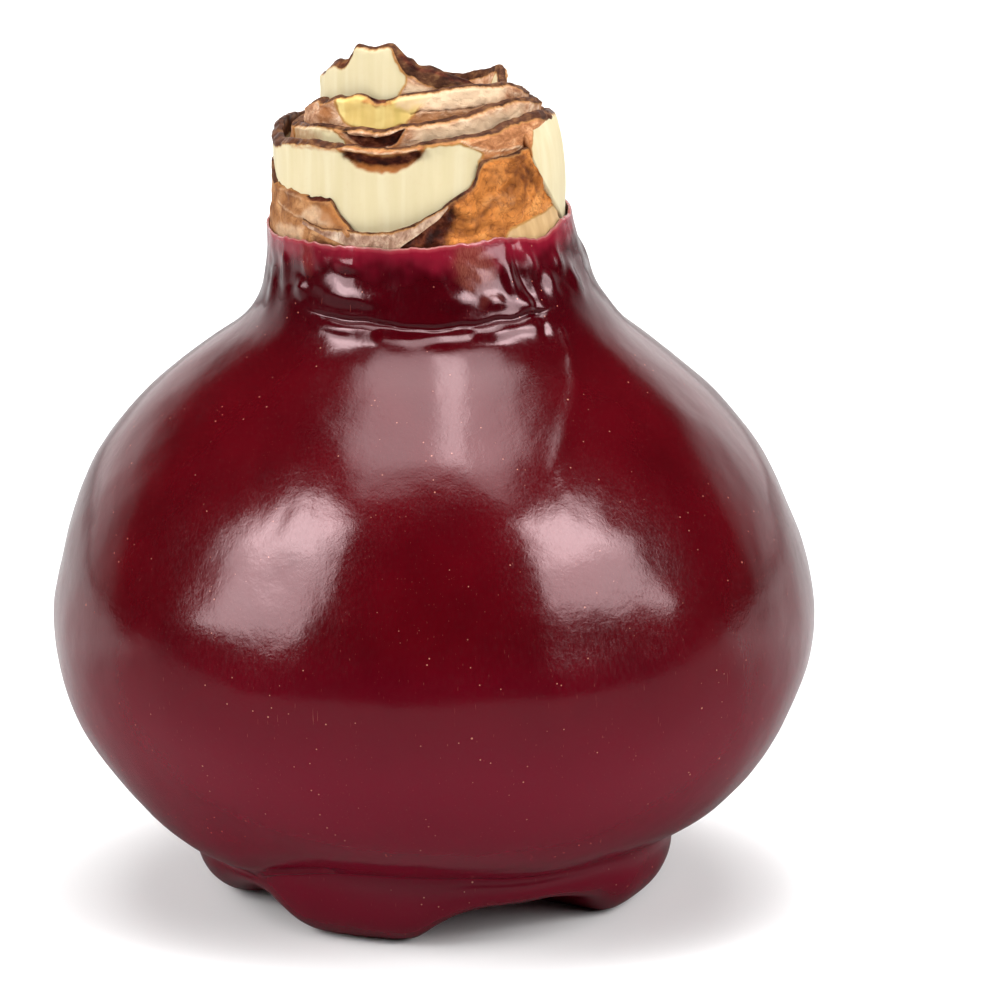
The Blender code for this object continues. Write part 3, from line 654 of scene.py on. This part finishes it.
def neck_scale(name, finish, rim, inside, wall, cut, replaced=None, start=-180, sweep=360, foot=None,
               waist=82.0, shaved=(), marks=(), flats=(), proud=0.2, ragged=0.12, crinkle=0.12, flare=0.0,
               skirt=0.0, lump=0.12, spread=(), hull=(), steps=440, seed=0):
    """One scale of the neck: a sleeve, or part of one, up to its uneven dried rim.

    rim and foot are heights round the neck, inside and wall the inner radius and the thickness, start and
    sweep where it begins and how far it goes round, cut how tall the dried band under the rim is, waist the
    height under which it is out of sight, shaved the outlines that the knife took the skin off, proud how far
    the skin stands out round them, and flats the (azimuth, depth) of the flattest strokes. ragged is how
    uneven the rim is, crinkle how much its edge waves in and out, lump how lumpy the skin is, flare and skirt
    how far the rim and the foot turn outwards, spread the (azimuth, distance) by which the ring is wider, and
    hull the (height, radius) that its outside follows."""
    steps = max(round(steps * sweep / 360), 24)
    shown = list(1 + np.concatenate((np.linspace(0, 0.6, 20)[:-1], np.linspace(0.6, 1, 28))))
    hidden = [] if foot else list(np.linspace(0, 1, 4)[:-1])
    across = [1.0] * len(hidden + shown) + [0.85, 0.5, 0.15] + [0.0] * (10 + len(hidden))
    shares = hidden + shown + [2.0] * 3 + list(np.linspace(2, 1, 10)) + hidden[::-1]
    mesh = turned([(2 + a, s) for a, s in zip(across, shares)], steps, closed=True, start=start, sweep=sweep)
    rows, azimuth, _ = places_of(mesh, start, sweep)
    across, share = np.array(across)[rows], np.array(shares)[rows]
    lip = (rows >= len(hidden + shown)) & (rows < len(hidden + shown) + 3)

    follow = around if sweep == 360 else along
    ring = on_cylinder(inside, azimuth, 0)
    torn = 0.8 * lumps(ring, 1.9, seed + 1) + 0.6 * lumps(ring, 0.7, seed + 2)
    top = follow(rim, azimuth) + ragged * torn
    bottom = follow(foot, azimuth) if foot else SHOULDER + GAP + 0 * azimuth
    middle = bottom if foot else np.minimum(waist, top - 1)
    height = np.where(share > 1, middle + (top - middle) * (share - 1), bottom + (middle - bottom) * share)
    below_rim = top - height

    points = on_cylinder(inside + wall, azimuth, height)
    jitter = 0.12 * lumps(points, 0.9, seed + 3)
    flesh = np.full(len(rows), -9.0)
    for outline in shaved:
        flesh = np.maximum(flesh, inside_by(azimuth, height, outline, inside + wall) + jitter)
    tones, depth = touched(azimuth + 2 * jitter, height + jitter, inside + wall, marks)
    bare = smooth_step(-0.12, 0.12, flesh)
    out = inside + wall + proud * (1 - bare)
    for stroke, cut_depth in flats:
        turn = np.clip(azimuth - stroke, -80, 80)
        plane = (inside + wall - cut_depth) / np.cos(np.radians(turn))
        out = np.where(flesh > -0.3, np.minimum(out, plane), out)
    out = out + 0.05 * bare * lumps(points * (1, 1, 0.12), 1.6, seed + 4)
    out = out + (1 - bare) * lump * (lumps(points, 2.4, seed + 5) + 0.5 * lumps(points, 0.9, seed + 8))
    thinning = 1 - smooth_step(0, 0.6, below_rim)
    out = np.maximum(out - depth - 0.48 * wall * thinning, inside + 0.12)
    bend = flare * (1 - smooth_step(0, 2.5, below_rim)) + skirt * (1 - smooth_step(82.6, 85.5, height))
    ripple = crinkle * (1 - smooth_step(0.2, 2.0, below_rim))
    bend = bend + ripple * (lumps(ring, 2.2, seed + 6) + 0.6 * lumps(points, 0.8, seed + 7))
    if spread:
        bend = bend + around(spread, azimuth) * smooth_step(82, 87, height)
    if hull:
        bend = bend + along(hull, height) - inside - wall
    radius = inside + across * (out - inside) + bend
    height = height + np.where(lip, 0.08 * np.sin(np.pi * across), 0)
    dried = follow(cut, azimuth) - below_rim
    mark(mesh, shaved=flesh, dried=np.where(across > 0.5, dried, dried + 0.6), **tones)
    put(mesh, radius, azimuth, height)
    piece(name, mesh, finish, replaced)


def papery_tunic():
    """The thin dry skin round the left and back of the neck, torn into steps at the front left."""
    finish = neck_finish("papery_dry_tunic", BROWN_TAN, TAWNY, BURNT, 0.65, blotch=2.6, stretch=1.2)
    torn_edge = ((-51, 87.3), (-46, 87.8), (-36, 87.9), (-35.4, 87.4), (-44, 87.1))
    pale_window = ((-53, 84.8), (-50, 86.0), (-44, 86.7), (-37, 86.1), (-33, 84.9), (-40, 84.3))
    pale_foot = ((-76, 82), (-70, 83.4), (-60, 83.8), (-50, 83.9), (-50, 82.2), (-60, 81))
    shaded_foot = ((-46, 81), (-45, 83.4), (-30, 82.4), (-24, 81.5), (-24, 80))
    neck_scale(
        "papery_tunic_skin", finish, PAPERY_RIM, inside=16.45, wall=0.75,
        replaced="papery_tunic", start=-188, sweep=164, seed=10,
        cut=((-188, 0.3), (-100, 0.4), (-86, 2.0), (-78, 1.2), (-74, 0.1), (-24, 0.1)),
        proud=0.0, ragged=0.16, crinkle=0.1, skirt=0.5, lump=0.16,
        marks=(("dark", 0.9, "area", torn_edge, 0.1, 0.25),
               ("dark", 0.4, "line", ((-66, 88), (-62, 86), (-57.5, 84.9)), 0.11, 0.1),
               ("dark", 0.35, "line", ((-75, 88.5), (-74, 85.6)), 0.12, 0.1),
               ("dark", 0.35, "line", ((-74, 85.4), (-62, 85.0), (-50, 84.7)), 0.12, 0.12),
               ("dark", 0.5, "line", ((-49, 84.6), (-47, 83.4), (-48, 82.2)), 0.15, 0.1),
               ("pale", 0.4, "line", ((-72, 85.7), (-62, 85.3), (-52, 84.9)), 0.2, -0.1),
               ("pale", 0.3, "line", ((-70, 87.4), (-60, 87.3), (-52, 87.0)), 0.2, -0.08),
               ("pale", 0.5, "area", pale_window, 0.5, -0.1),
               ("pale", 0.45, "area", pale_foot, 0.5, 0),
               ("warm", 0.6, "area", ((-41, 85), (-41, 87), (-35.5, 86.9), (-32, 85.2), (-30, 84.6)), 0.4, 0),
               ("warm", 0.8, "line", ((-35.4, 87.0), (-33.2, 86.0), (-29.6, 84.9)), 0.2, 0),
               ("dark", 0.55, "area", shaded_foot, 0.5, 0.1)))


def leathery_tunic():
    """The thick orange-brown skin on the front right, with a bare cream window at its lower right."""
    finish = neck_finish("leathery_orange_tunic", ORANGE_BROWN, TAWNY, BURNT, 0.5, blotch=5.0, stretch=1.1,
                         grain=0.2)
    bare_window = ((34.5, 81), (35.5, 83.1), (39.4, 84.2), (45.4, 84.4), (52.2, 84.8), (61.5, 85.2),
                   (72, 85.4), (76, 80))
    bright_corner = ((28, 89.5), (28, 92.2), (36, 92.2), (40, 90.6), (34, 89.4))
    cream_shadow_corner = ((-20, 85), (4, 85.5), (14, 87.6), (17, 86.2), (13, 84.4), (10, 82), (-20, 81))
    neck_scale(
        "leathery_tunic_skin", finish, LEATHERY_RIM, inside=16.45, wall=0.75,
        replaced="leathery_tunic", start=-20, sweep=96, seed=20, shaved=(bare_window,),
        cut=((-20, 0.05), (5, 0.1), (24, 0.35), (28, 0.12), (76, 0.05)),
        proud=0.0, ragged=0.06, crinkle=0.06, skirt=0.48, lump=0.46,
        # Painted shadow: the left corner and the line under the cream scale's edge are painted dark, for the
        # shadow the cream scale casts.
        marks=(("dark", 0.95, "area", cream_shadow_corner, 1.3, 0.5),
               ("dark", 0.6, "line", ((12, 87), (18, 88.4), (22, 89), (24, 90.6), (25, 91.6)), 0.45, 0.25),
               # Painted shade and highlight: these dark lines follow recessed furrows, partly the skin's
               # darker brown and partly shade painted in them, and the faint pale patch on a raised ridge is a
               # painted highlight.
               ("dark", 0.45, "line", ((38, 90.9), (44, 90.2), (49, 89.2)), 0.6, 0.25),
               ("dark", 0.5, "line", ((50, 90.5), (54, 88.5), (60, 86.8)), 0.5, 0.2),
               ("dark", 0.5, "line", ((14, 86.2), (20, 85.4), (27, 86.0), (31, 87.2)), 0.5, 0.3),
               ("dark", 0.4, "line", ((27, 91.4), (32, 90.8), (36, 89.6)), 0.4, 0.25),
               ("dark", 0.4, "line", ((24, 88.2), (26, 86.6), (24, 85.2)), 0.4, 0.15),
               ("dark", 0.35, "line", ((36, 86.1), (42, 86.3), (49, 86.1)), 0.4, 0.15),
               ("dark", 0.4, "line", ((27, 84.3), (31, 84.6), (36, 84.3)), 0.35, 0.15),
               ("pale", 0.16, "area", ((27, 87), (29, 88.3), (37, 88.6), (42, 87.6), (40, 86.7)), 0.5, -0.25),
               ("warm", 0.5, "area", bright_corner, 0.6, -0.15)))


def peeled_strip():
    """The strip of papery skin that has peeled off and hangs across the front of the mouth."""
    finish = neck_finish("peeled_papery_strip", GREY_TAN, CREAM, BURNT, 0.65, blotch=1.2, stretch=0.7,
                         grain=0.2)
    lower_fold = ((-36, 83.2), (-28, 82.6), (-10, 82.4), (-4, 83.4), (3, 84.7), (10, 86.8))
    neck_scale(
        "peeled_papery_strip", finish, STRIP_TOP, inside=17.3, wall=0.22, foot=STRIP_FOOT,
        start=-50, sweep=62, steps=560, seed=100, cut=((-50, 0.1), (12, 0.1)),
        proud=0.0, ragged=0.08, crinkle=0.14, lump=0.1, skirt=0.2,
        marks=(("dark", 0.45, "line", ((-50, 84.5), (-42, 84.0), (-36, 83.5)), 0.25, 0),
               ("dark", 0.15, "line", ((-14, 83.6), (-12, 82.8)), 0.25, 0),
               ("pale", 0.35, "line", lower_fold, 0.22, 0),
               ("pale", 0.5, "line", ((-40, 84.0), (-26, 84.0), (-12, 84.1)), 0.15, 0)))


def side_scale(finish):
    """The cream scale at the right side, cut off aslant over the leathery skin."""
    cut_face = ((56.6, 99), (56.1, 96.3), (54.4, 94.3), (51.6, 93.1), (51.6, 90.3), (57.5, 87.2), (65, 84.7),
                (76, 82.2), (90, 78), (150, 76), (158, 88), (150, 99))
    neck_scale(
        "side_tooth_scale", finish, SIDE_RIM, inside=16.5, wall=0.9, replaced="side_scale",
        foot=SIDE_FOOT, start=50, sweep=118, seed=30, shaved=(cut_face,), proud=0.12,
        cut=((50, 0.1), (60, 0.15), (72, 0.3), (100, 0.5), (168, 0.5)),
        hull=((83.5, 17.45), (86, 17.65), (88.8, 17.6), (92.4, 17.2), (94.4, 16.7), (96.2, 15.9)),
        marks=(("warm", 0.7, "line", ((50.5, 94.6), (51.0, 93.2), (51.6, 92.2)), 0.25, 0.1),))


def outer_scale(finish):
    """The fleshy scale whose cream cut face is at the front, with a hollow under its rim painted dark brown,
    partly its burnt dried tone and partly painted shade under the lip, and a low papery collar to the right."""
    cut_face = ((-124, 99), (-121, 92.6), (-115, 91.5), (-110, 88.6), (-103, 86), (-60, 85), (-27, 83.0),
                (-0.7, 84.6), (8.6, 86.2), (16.4, 88.1), (22.4, 89), (26, 90.6), (26.4, 92.1), (28.6, 93.15),
                (24.6, 93.75), (19, 94.5), (12.5, 94.5), (4.6, 94.3), (2.7, 93.8), (-3.5, 93.2), (-9.7, 93.1),
                (-14, 92.9), (-22.7, 93.15), (-32.6, 93.3), (-36, 94.2), (-37, 99))
    hollow = ((-32.6, 93.4), (-30.5, 92.9), (-27.8, 92.3), (-25, 91.8), (-20.5, 91.4), (-14.9, 91.2),
              (-8.5, 91.4), (-3.5, 92.0), (0.6, 93.0), (2.7, 93.9), (-3.5, 93.3), (-9.7, 93.2), (-14, 92.95),
              (-22.7, 93.25))
    hollow_floor_shade = ((-29.5, 93.0), (-24, 92.6), (-15, 92.3), (-6, 92.6), (0, 93.3))
    low_collar = ((18.6, 94.8), (23, 94.1), (28.1, 93.5), (34.1, 93.25), (38, 93.4), (47.2, 93.3), (56, 93.2))
    neck_scale(
        "outer_shaved_scale", finish, OUTER_RIM, inside=15.0, wall=1.25,
        replaced="outer_scale", steps=560, seed=40, shaved=(cut_face,), flats=((-9, 0.6),),
        cut=((-150, 1.0), (-100, 1.4), (-84, 1.3), (-72, 0.8), (-60, 0.5), (-36, 0.5), (-31, 0.1), (0, 0.08),
             (5, 0.3), (20, 0.22), (35, 0.3), (57, 0.45), (66, 1.0), (76, 1.3), (100, 1.0), (140, 0.8)),
        spread=((-150, 0.3), (-90, 0.75), (-55, 0.45), (-20, 0.0), (30, 0.0), (60, -0.1), (90, -0.35),
                (150, 0.0)),
        flare=0.1, ragged=0.16, crinkle=0.16,
        marks=(("warm", 1.0, "area", hollow, 0.14, 0.35),
               # Painted shade: the hollow's middle under the lip is painted dark, partly the dried scale's
               # brown and partly shade.
               ("dark", 1.0, "line", hollow_floor_shade, 0.75, 0.45),
               ("warm", 0.9, "line", hollow[1:10], 0.28, 0.05),
               ("none", 0, "line", ((-34, 93.8), (-16, 93.6), (2, 94.2)), 0.35, -0.4),
               # Painted highlight: the pale line along the raised lip is its pinkish tan with a painted
               # highlight.
               ("pale", 0.7, "line", ((-31, 93.8), (-15, 93.45), (0, 94.0)), 0.14, 0),
               ("pale", 0.8, "line", low_collar, 0.1, -0.12),
               ("pale", 0.8, "line", ((27.4, 92.45), (39, 92.65), (47, 92.95), (56, 93)), 0.1, -0.08),
               ("warm", 0.5, "area", ((28, 93.3), (36, 93), (56, 93), (56, 91), (26, 91.5)), 0.2, 0.05),
               ("warm", 0.5, "line", ((-60, 93.0), (-45, 93.4), (-34, 93.3)), 0.3, 0)))


def second_scale(finish):
    """The second dried scale, with a hollow at the front painted dark, partly its burnt dried tone and partly
    painted shade, and a pale band to the right.
    """
    cut_face = ((-80, 90), (-80, 95.0), (-52, 95.4), (-41, 95.3), (-35, 94.4), (-31, 90))
    hollow = ((-35.6, 95.3), (-29.5, 94.1), (-23.2, 93.6), (-15.8, 93.6), (-9.1, 94.4), (-5.3, 96.1),
              (-13.3, 95.25), (-19.2, 94.9), (-28.4, 95.0))
    pale_band = ((0, 92), (0, 96.2), (20, 96.7), (40, 97.4), (58, 97.6), (58, 92))
    neck_scale(
        "second_dried_scale", finish, SECOND_RIM, inside=13.4, wall=1.2,
        replaced="second_scale", waist=91.0, steps=520, seed=50, shaved=(cut_face,),
        cut=((-150, 0.8), (-100, 0.8), (-75, 0.3), (-36, 0.22), (-5, 0.16), (20, 0.2), (60, 0.3), (75, 0.6),
             (120, 0.6)),
        ragged=0.12, crinkle=0.16, lump=0.22,
        # Painted shade: the hollow under the rim is painted dark, partly the dried scale's burnt tone and
        # partly shade.
        marks=(("dark", 1.0, "area", hollow, 0.14, 0.6),
               ("none", 0, "line", ((-36, 95.5), (-28, 95.5), (-16, 95.4), (-5, 96.2)), 0.25, -0.35),
               ("warm", 0.7, "line", ((-37, 95.2), (-30, 93.8), (-22, 93.2)), 0.3, 0),
               ("warm", 0.7, "line", ((-4.6, 96.0), (-8.4, 94.3), (-14, 93.4)), 0.3, 0),
               ("warm", 0.55, "area", ((-90, 90), (-90, 95.2), (-63, 95), (-50, 94.6), (-50, 90)), 1.2, 0),
               ("warm", 0.35, "line", ((-50, 95.3), (-38, 95.2)), 0.4, 0),
               ("pale", 0.95, "area", pale_band, 1.5, 0),
               ("dark", 0.3, "line", ((45, 96.2), (56, 97.2), (62, 97.6)), 0.14, 0.1),
               ("pale", 0.8, "line", ((60, 95.8), (68, 97.2), (76, 97.6)), 0.2, -0.1)))


def third_scale():
    """The third dried scale, with a greenish cut face at the front and a pale band to the right."""
    finish = neck_finish("knife_shaved_green_flesh", PINK_TAN, GREENISH, BURNT, 0.55, grain=0.2)
    cut_face = ((-47, 101), (-46.2, 98.4), (-46.1, 97.5), (-43.1, 96.6), (-41, 96), (-34.9, 95.6),
                (-28.7, 95.4), (-21.7, 95.4), (-16.2, 95.6), (-9.7, 96.1), (-4.9, 96.5), (-2.3, 97.3),
                (0.8, 98.0), (4.4, 98.7), (9, 99.5), (9, 101))
    scooped = ((-44, 97.5), (-40, 96.2), (-22, 95.7), (-9, 96.4), (-3, 97.8), (-20, 98.8))
    pale_corner = ((-12, 101), (-11, 98.4), (-4, 97.9), (4, 98.9), (9, 99.6), (9, 101))
    pale_band = ((-6, 98.6), (8, 100.4), (28, 100.8), (56, 100), (44, 98.2), (24, 98.0))
    fold = ((-3, 97.6), (4.3, 98.0), (19, 97.9), (30, 97.9), (36, 98.2))
    under_fold = ((-3, 97.5), (10, 97.9), (36, 98.1), (30, 96.5), (-5, 95))
    neck_scale(
        "third_green_scale", finish, THIRD_RIM, inside=11.8, wall=1.2, replaced="third_scale",
        waist=92.5, steps=500, seed=60, shaved=(cut_face,), flats=((-22, 0.35),),
        cut=((-150, 0.6), (-90, 0.4), (-60, 0.35), (-48, 0.5), (-44, 0.12), (-28, 0.12), (-22, 0.4),
             (-16, 0.12), (0, 0.12), (30, 0.16), (60, 0.3), (75, 0.7), (120, 0.6)),
        ragged=0.1, crinkle=0.14, lump=0.22,
        marks=(("none", 0, "area", scooped, 0.9, 0.3),
               ("dark", 1.0, "line", ((-26, 98.85), (-21.6, 98.7), (-17.7, 98.85)), 0.2, 0.3),
               ("warm", 0.7, "line", ((-29, 98.8), (-22, 98.3), (-14, 98.8)), 0.3, 0),
               ("pale", 0.6, "area", pale_corner, 0.5, 0),
               ("dark", 0.6, "line", fold, 0.1, 0.2),
               ("warm", 0.55, "area", under_fold, 0.25, 0.1),
               ("pale", 0.95, "area", pale_band, 1.3, 0),
               ("warm", 0.6, "area", ((-60, 95), (-60, 97.4), (-48, 97.6), (-47, 96)), 0.6, 0),
               ("dark", 0.3, "line", ((-62, 96.6), (-56, 97.3), (-49, 96.9)), 0.12, 0.12)))


def peaked_scale(finish):
    """The scale with the highest rim: a cream cut face under its peak, and a burnt band that runs down to
    the right."""
    cut_face = ((-106, 93), (-106, 106), (-41, 106), (-15.5, 106), (-13.4, 104.2), (-11.6, 103.4),
                (-9.2, 102.7), (-5.6, 101.8), (-6.2, 100.9), (-8.6, 100.1), (-10.4, 99.4), (-11, 93))
    burnt_band = ((-9.5, 104.1), (-5, 103.4), (1, 102.5), (9, 102.3), (20, 101.5), (34, 100.6))
    burnt_shoulder = ((-58, 102.4), (-50, 102.4), (-45, 103.1), (-43, 103.9))
    under_band = ((-13.6, 104.4), (-9, 102.7), (-4.8, 101.7), (5, 101), (12, 100.0))
    neck_scale(
        "peaked_shaved_scale", finish, PEAKED_RIM, inside=10.35, wall=1.05,
        replaced="peaked_scale", waist=93.5, steps=460, seed=70, shaved=(cut_face,), flats=((-36, 0.4),),
        cut=((-129, 0.8), (-90, 0.35), (-70, 0.4), (-60, 0.7), (-47, 1.0), (-42.8, 0.7), (-39.5, 0.3),
             (-20, 0.26), (-14, 0.5), (-10.5, 1.3), (-5, 1.9), (1, 1.7), (7, 2.1), (12, 2.3), (20, 1.7),
             (32, 0.7), (45, 0.3), (100, 0.5)),
        ragged=0.08, crinkle=0.12,
        marks=(("dark", 0.8, "line", burnt_band, 0.28, 0.1),
               ("dark", 0.55, "line", burnt_shoulder, 0.35, 0.15),
               ("pale", 0.9, "area", ((-5, 101), (6, 100.4), (12, 99.7), (4, 98), (-10, 98)), 0.4, 0),
               ("warm", 0.55, "line", under_band, 0.22, 0),
               ("dark", 0.35, "line", ((-5.2, 101.6), (0, 101.0), (5, 100.4)), 0.08, 0.08)))


def back_scale(finish):
    """The innermost scale, whose tip shows at the back right."""
    cut_face = ((70, 94), (74, 98.2), (86, 99.0), (96, 99.8), (102, 99.8), (102, 94))
    neck_scale(
        "back_dried_scale", finish, BACK_RIM, inside=9.0, wall=1.0, replaced="back_scale",
        waist=94.5, steps=380, seed=80, shaved=(cut_face,),
        cut=((-150, 0.6), (60, 0.4), (90, 0.2), (110, 0.15), (140, 0.4)),
        ragged=0.1, flare=0.8,
        marks=(("dark", 0.6, "line", ((50, 98.2), (66, 98.2), (80, 98.7)), 0.3, 0.1),
               ("warm", 0.4, "line", ((70, 96), (74, 98.4), (90, 99.2)), 0.3, 0)))


def neck_scales():
    """The scales that stand out of the coat's mouth, from the outermost inwards."""
    shaved_flesh = neck_finish("knife_shaved_flesh", COLLAR_TAN, CREAM, BURNT, 0.55)
    dried_scale = neck_finish("dried_pink_scale", PINK_TAN, CREAM, BURNT, 0.6, grain=0.2)
    papery_tunic()
    leathery_tunic()
    peeled_strip()
    side_scale(shaved_flesh)
    outer_scale(shaved_flesh)
    second_scale(dried_scale)
    third_scale()
    peaked_scale(dried_scale)
    back_scale(dried_scale)


# The floor, the lights and the camera

FLOOR_REACH = 4  # metres
LIGHT_AWAY = 1.2  # metres
CAMERA_PLACE = (0, -0.700, 0.228)  # metres
LOOK_DOWN = 14.43  # degrees
LOOK_RIGHT = 0.652  # degrees
FOCAL_LENGTH = 216.04  # millimetres
SENSOR_WIDTH = 36  # millimetres


def floor():
    """A matt white floor, which the wax mirrors darker than it looks."""
    material, tree = new_finish("matt_white_card")
    seen = add(tree, "LightPath").outputs["Is Camera Ray"]
    mirrored = add(tree, "LightPath").outputs["Is Glossy Ray"]
    shown = add(tree, "Mix", {"Factor": seen, "A": paint("#dcdcdc"), "B": paint("#ffffff")}, data_type="RGBA")
    spot = add(tree, "TexCoord").outputs["Object"]
    away = add(tree, "SeparateXYZ", {"Vector": spot}).outputs["Y"]
    depth = add(tree, "MapRange", {"Value": away, "From Min": -0.3, "From Max": 0.1})
    glossy = add(tree, "ValToRGB", {"Fac": depth}, stops=((0.06, "#0a0a0a"), (0.14, "#747474"),
                                                          (0.74, "#747474"), (0.95, "#b8b8b8")))
    tone = add(tree, "Mix", {"Factor": mirrored, "A": shown, "B": glossy}, data_type="RGBA")
    card = add(tree, "BsdfDiffuse", {"Color": tone})
    add(tree, "OutputMaterial", {"Surface": card})
    mesh = bmesh.new()
    bmesh.ops.create_grid(mesh, x_segments=1, y_segments=1, size=FLOOR_REACH)
    data = bpy.data.meshes.new("floor")
    mesh.to_mesh(data)
    mesh.free()
    data.materials.append(material)
    item = bpy.data.objects.new("floor", data)
    bpy.context.scene.collection.objects.link(item)


def softbox(name, place, size, radiance, target=(0, 0, 0.05)):
    """An evenly bright rectangle of this radiance that faces the target."""
    data = bpy.data.lights.new(name, "AREA")
    data.shape = "RECTANGLE"
    data.size, data.size_y = size
    data.energy = radiance * math.pi * size[0] * size[1]
    item = bpy.data.objects.new(name, data)
    item.location = place
    item.rotation_euler = (Vector(target) - Vector(place)).to_track_quat("-Z", "Y").to_euler()
    item.visible_camera = False
    bpy.context.scene.collection.objects.link(item)


def studio():
    """Two tall softboxes at the front corners, a wide one overhead, and a pale backdrop behind. Each has a
    brighter middle, so that its mirror image in the wax has a soft edge."""
    for side, azimuth in (("left", -60.5), ("right", 57.5)):
        turn = math.radians(azimuth)
        spot = (LIGHT_AWAY * math.sin(turn), -LIGHT_AWAY * math.cos(turn), 0.95)
        softbox(side + "_softbox", spot, (0.76, 1.26), 6.2, (0, 0, 0.95))
        near = LIGHT_AWAY - 0.005
        middle = (near * math.sin(turn), -near * math.cos(turn), 1.05)
        softbox(side + "_softbox_middle", middle, (0.50, 0.75), 6.4, (0, 0, 1.05))
    softbox("overhead_softbox", (0, 0.22, 1.55), (1.35, 1.66), 2.5, (0, 0.22, 0))
    softbox("overhead_softbox_middle", (0, 0.3, 1.54), (1.1, 1.4), 1.7, (0, 0.3, 0))
    softbox("overhead_strip", (0.125, 0.1, 1.5), (0.25, 1.0), 4.5, (0.125, 0.1, 0))
    world = bpy.data.worlds.new("studio")
    bpy.context.scene.world = world
    world.use_nodes = True
    tree = world.node_tree
    tree.nodes.clear()
    way = add(tree, "TexCoord").outputs["Generated"]
    parts = add(tree, "SeparateXYZ", {"Vector": way})
    back = add(tree, "MapRange", {"Value": parts.outputs["Y"], "From Min": 0.35, "From Max": 0.85})
    low = add(tree, "MapRange", {"Value": parts.outputs["Z"], "From Min": 0.5, "From Max": 0.3})
    glow = add(tree, "Math", {0: back, 1: low}, operation="MULTIPLY")
    lit = add(tree, "Math", {0: glow, 1: 1.3}, operation="MULTIPLY")
    dim = add(tree, "Math", {0: lit, 1: 0.015}, operation="MAXIMUM")
    room = add(tree, "Background", {"Strength": dim, "Color": (1, 1, 1, 1)})
    white = add(tree, "Background", {"Strength": 1.0, "Color": (1, 1, 1, 1)})
    seen = add(tree, "LightPath").outputs["Is Camera Ray"]
    mixed = add(tree, "MixShader", {0: seen, 1: room, 2: white})
    add(tree, "OutputWorld", {"Surface": mixed})


def camera():
    """A long lens, a little above the bulb, that looks down at it and a touch to its right."""
    data = bpy.data.cameras.new("camera")
    data.sensor_width = SENSOR_WIDTH
    data.lens = FOCAL_LENGTH
    item = bpy.data.objects.new("camera", data)
    item.location = CAMERA_PLACE
    item.rotation_euler = (math.radians(90 - LOOK_DOWN), 0, math.radians(-LOOK_RIGHT))
    bpy.context.scene.collection.objects.link(item)
    bpy.context.scene.camera = item
    bpy.context.scene.view_settings.view_transform = "Standard"


wax_coat()
bulb_flesh()
neck_scales()
floor()
studio()
camera()
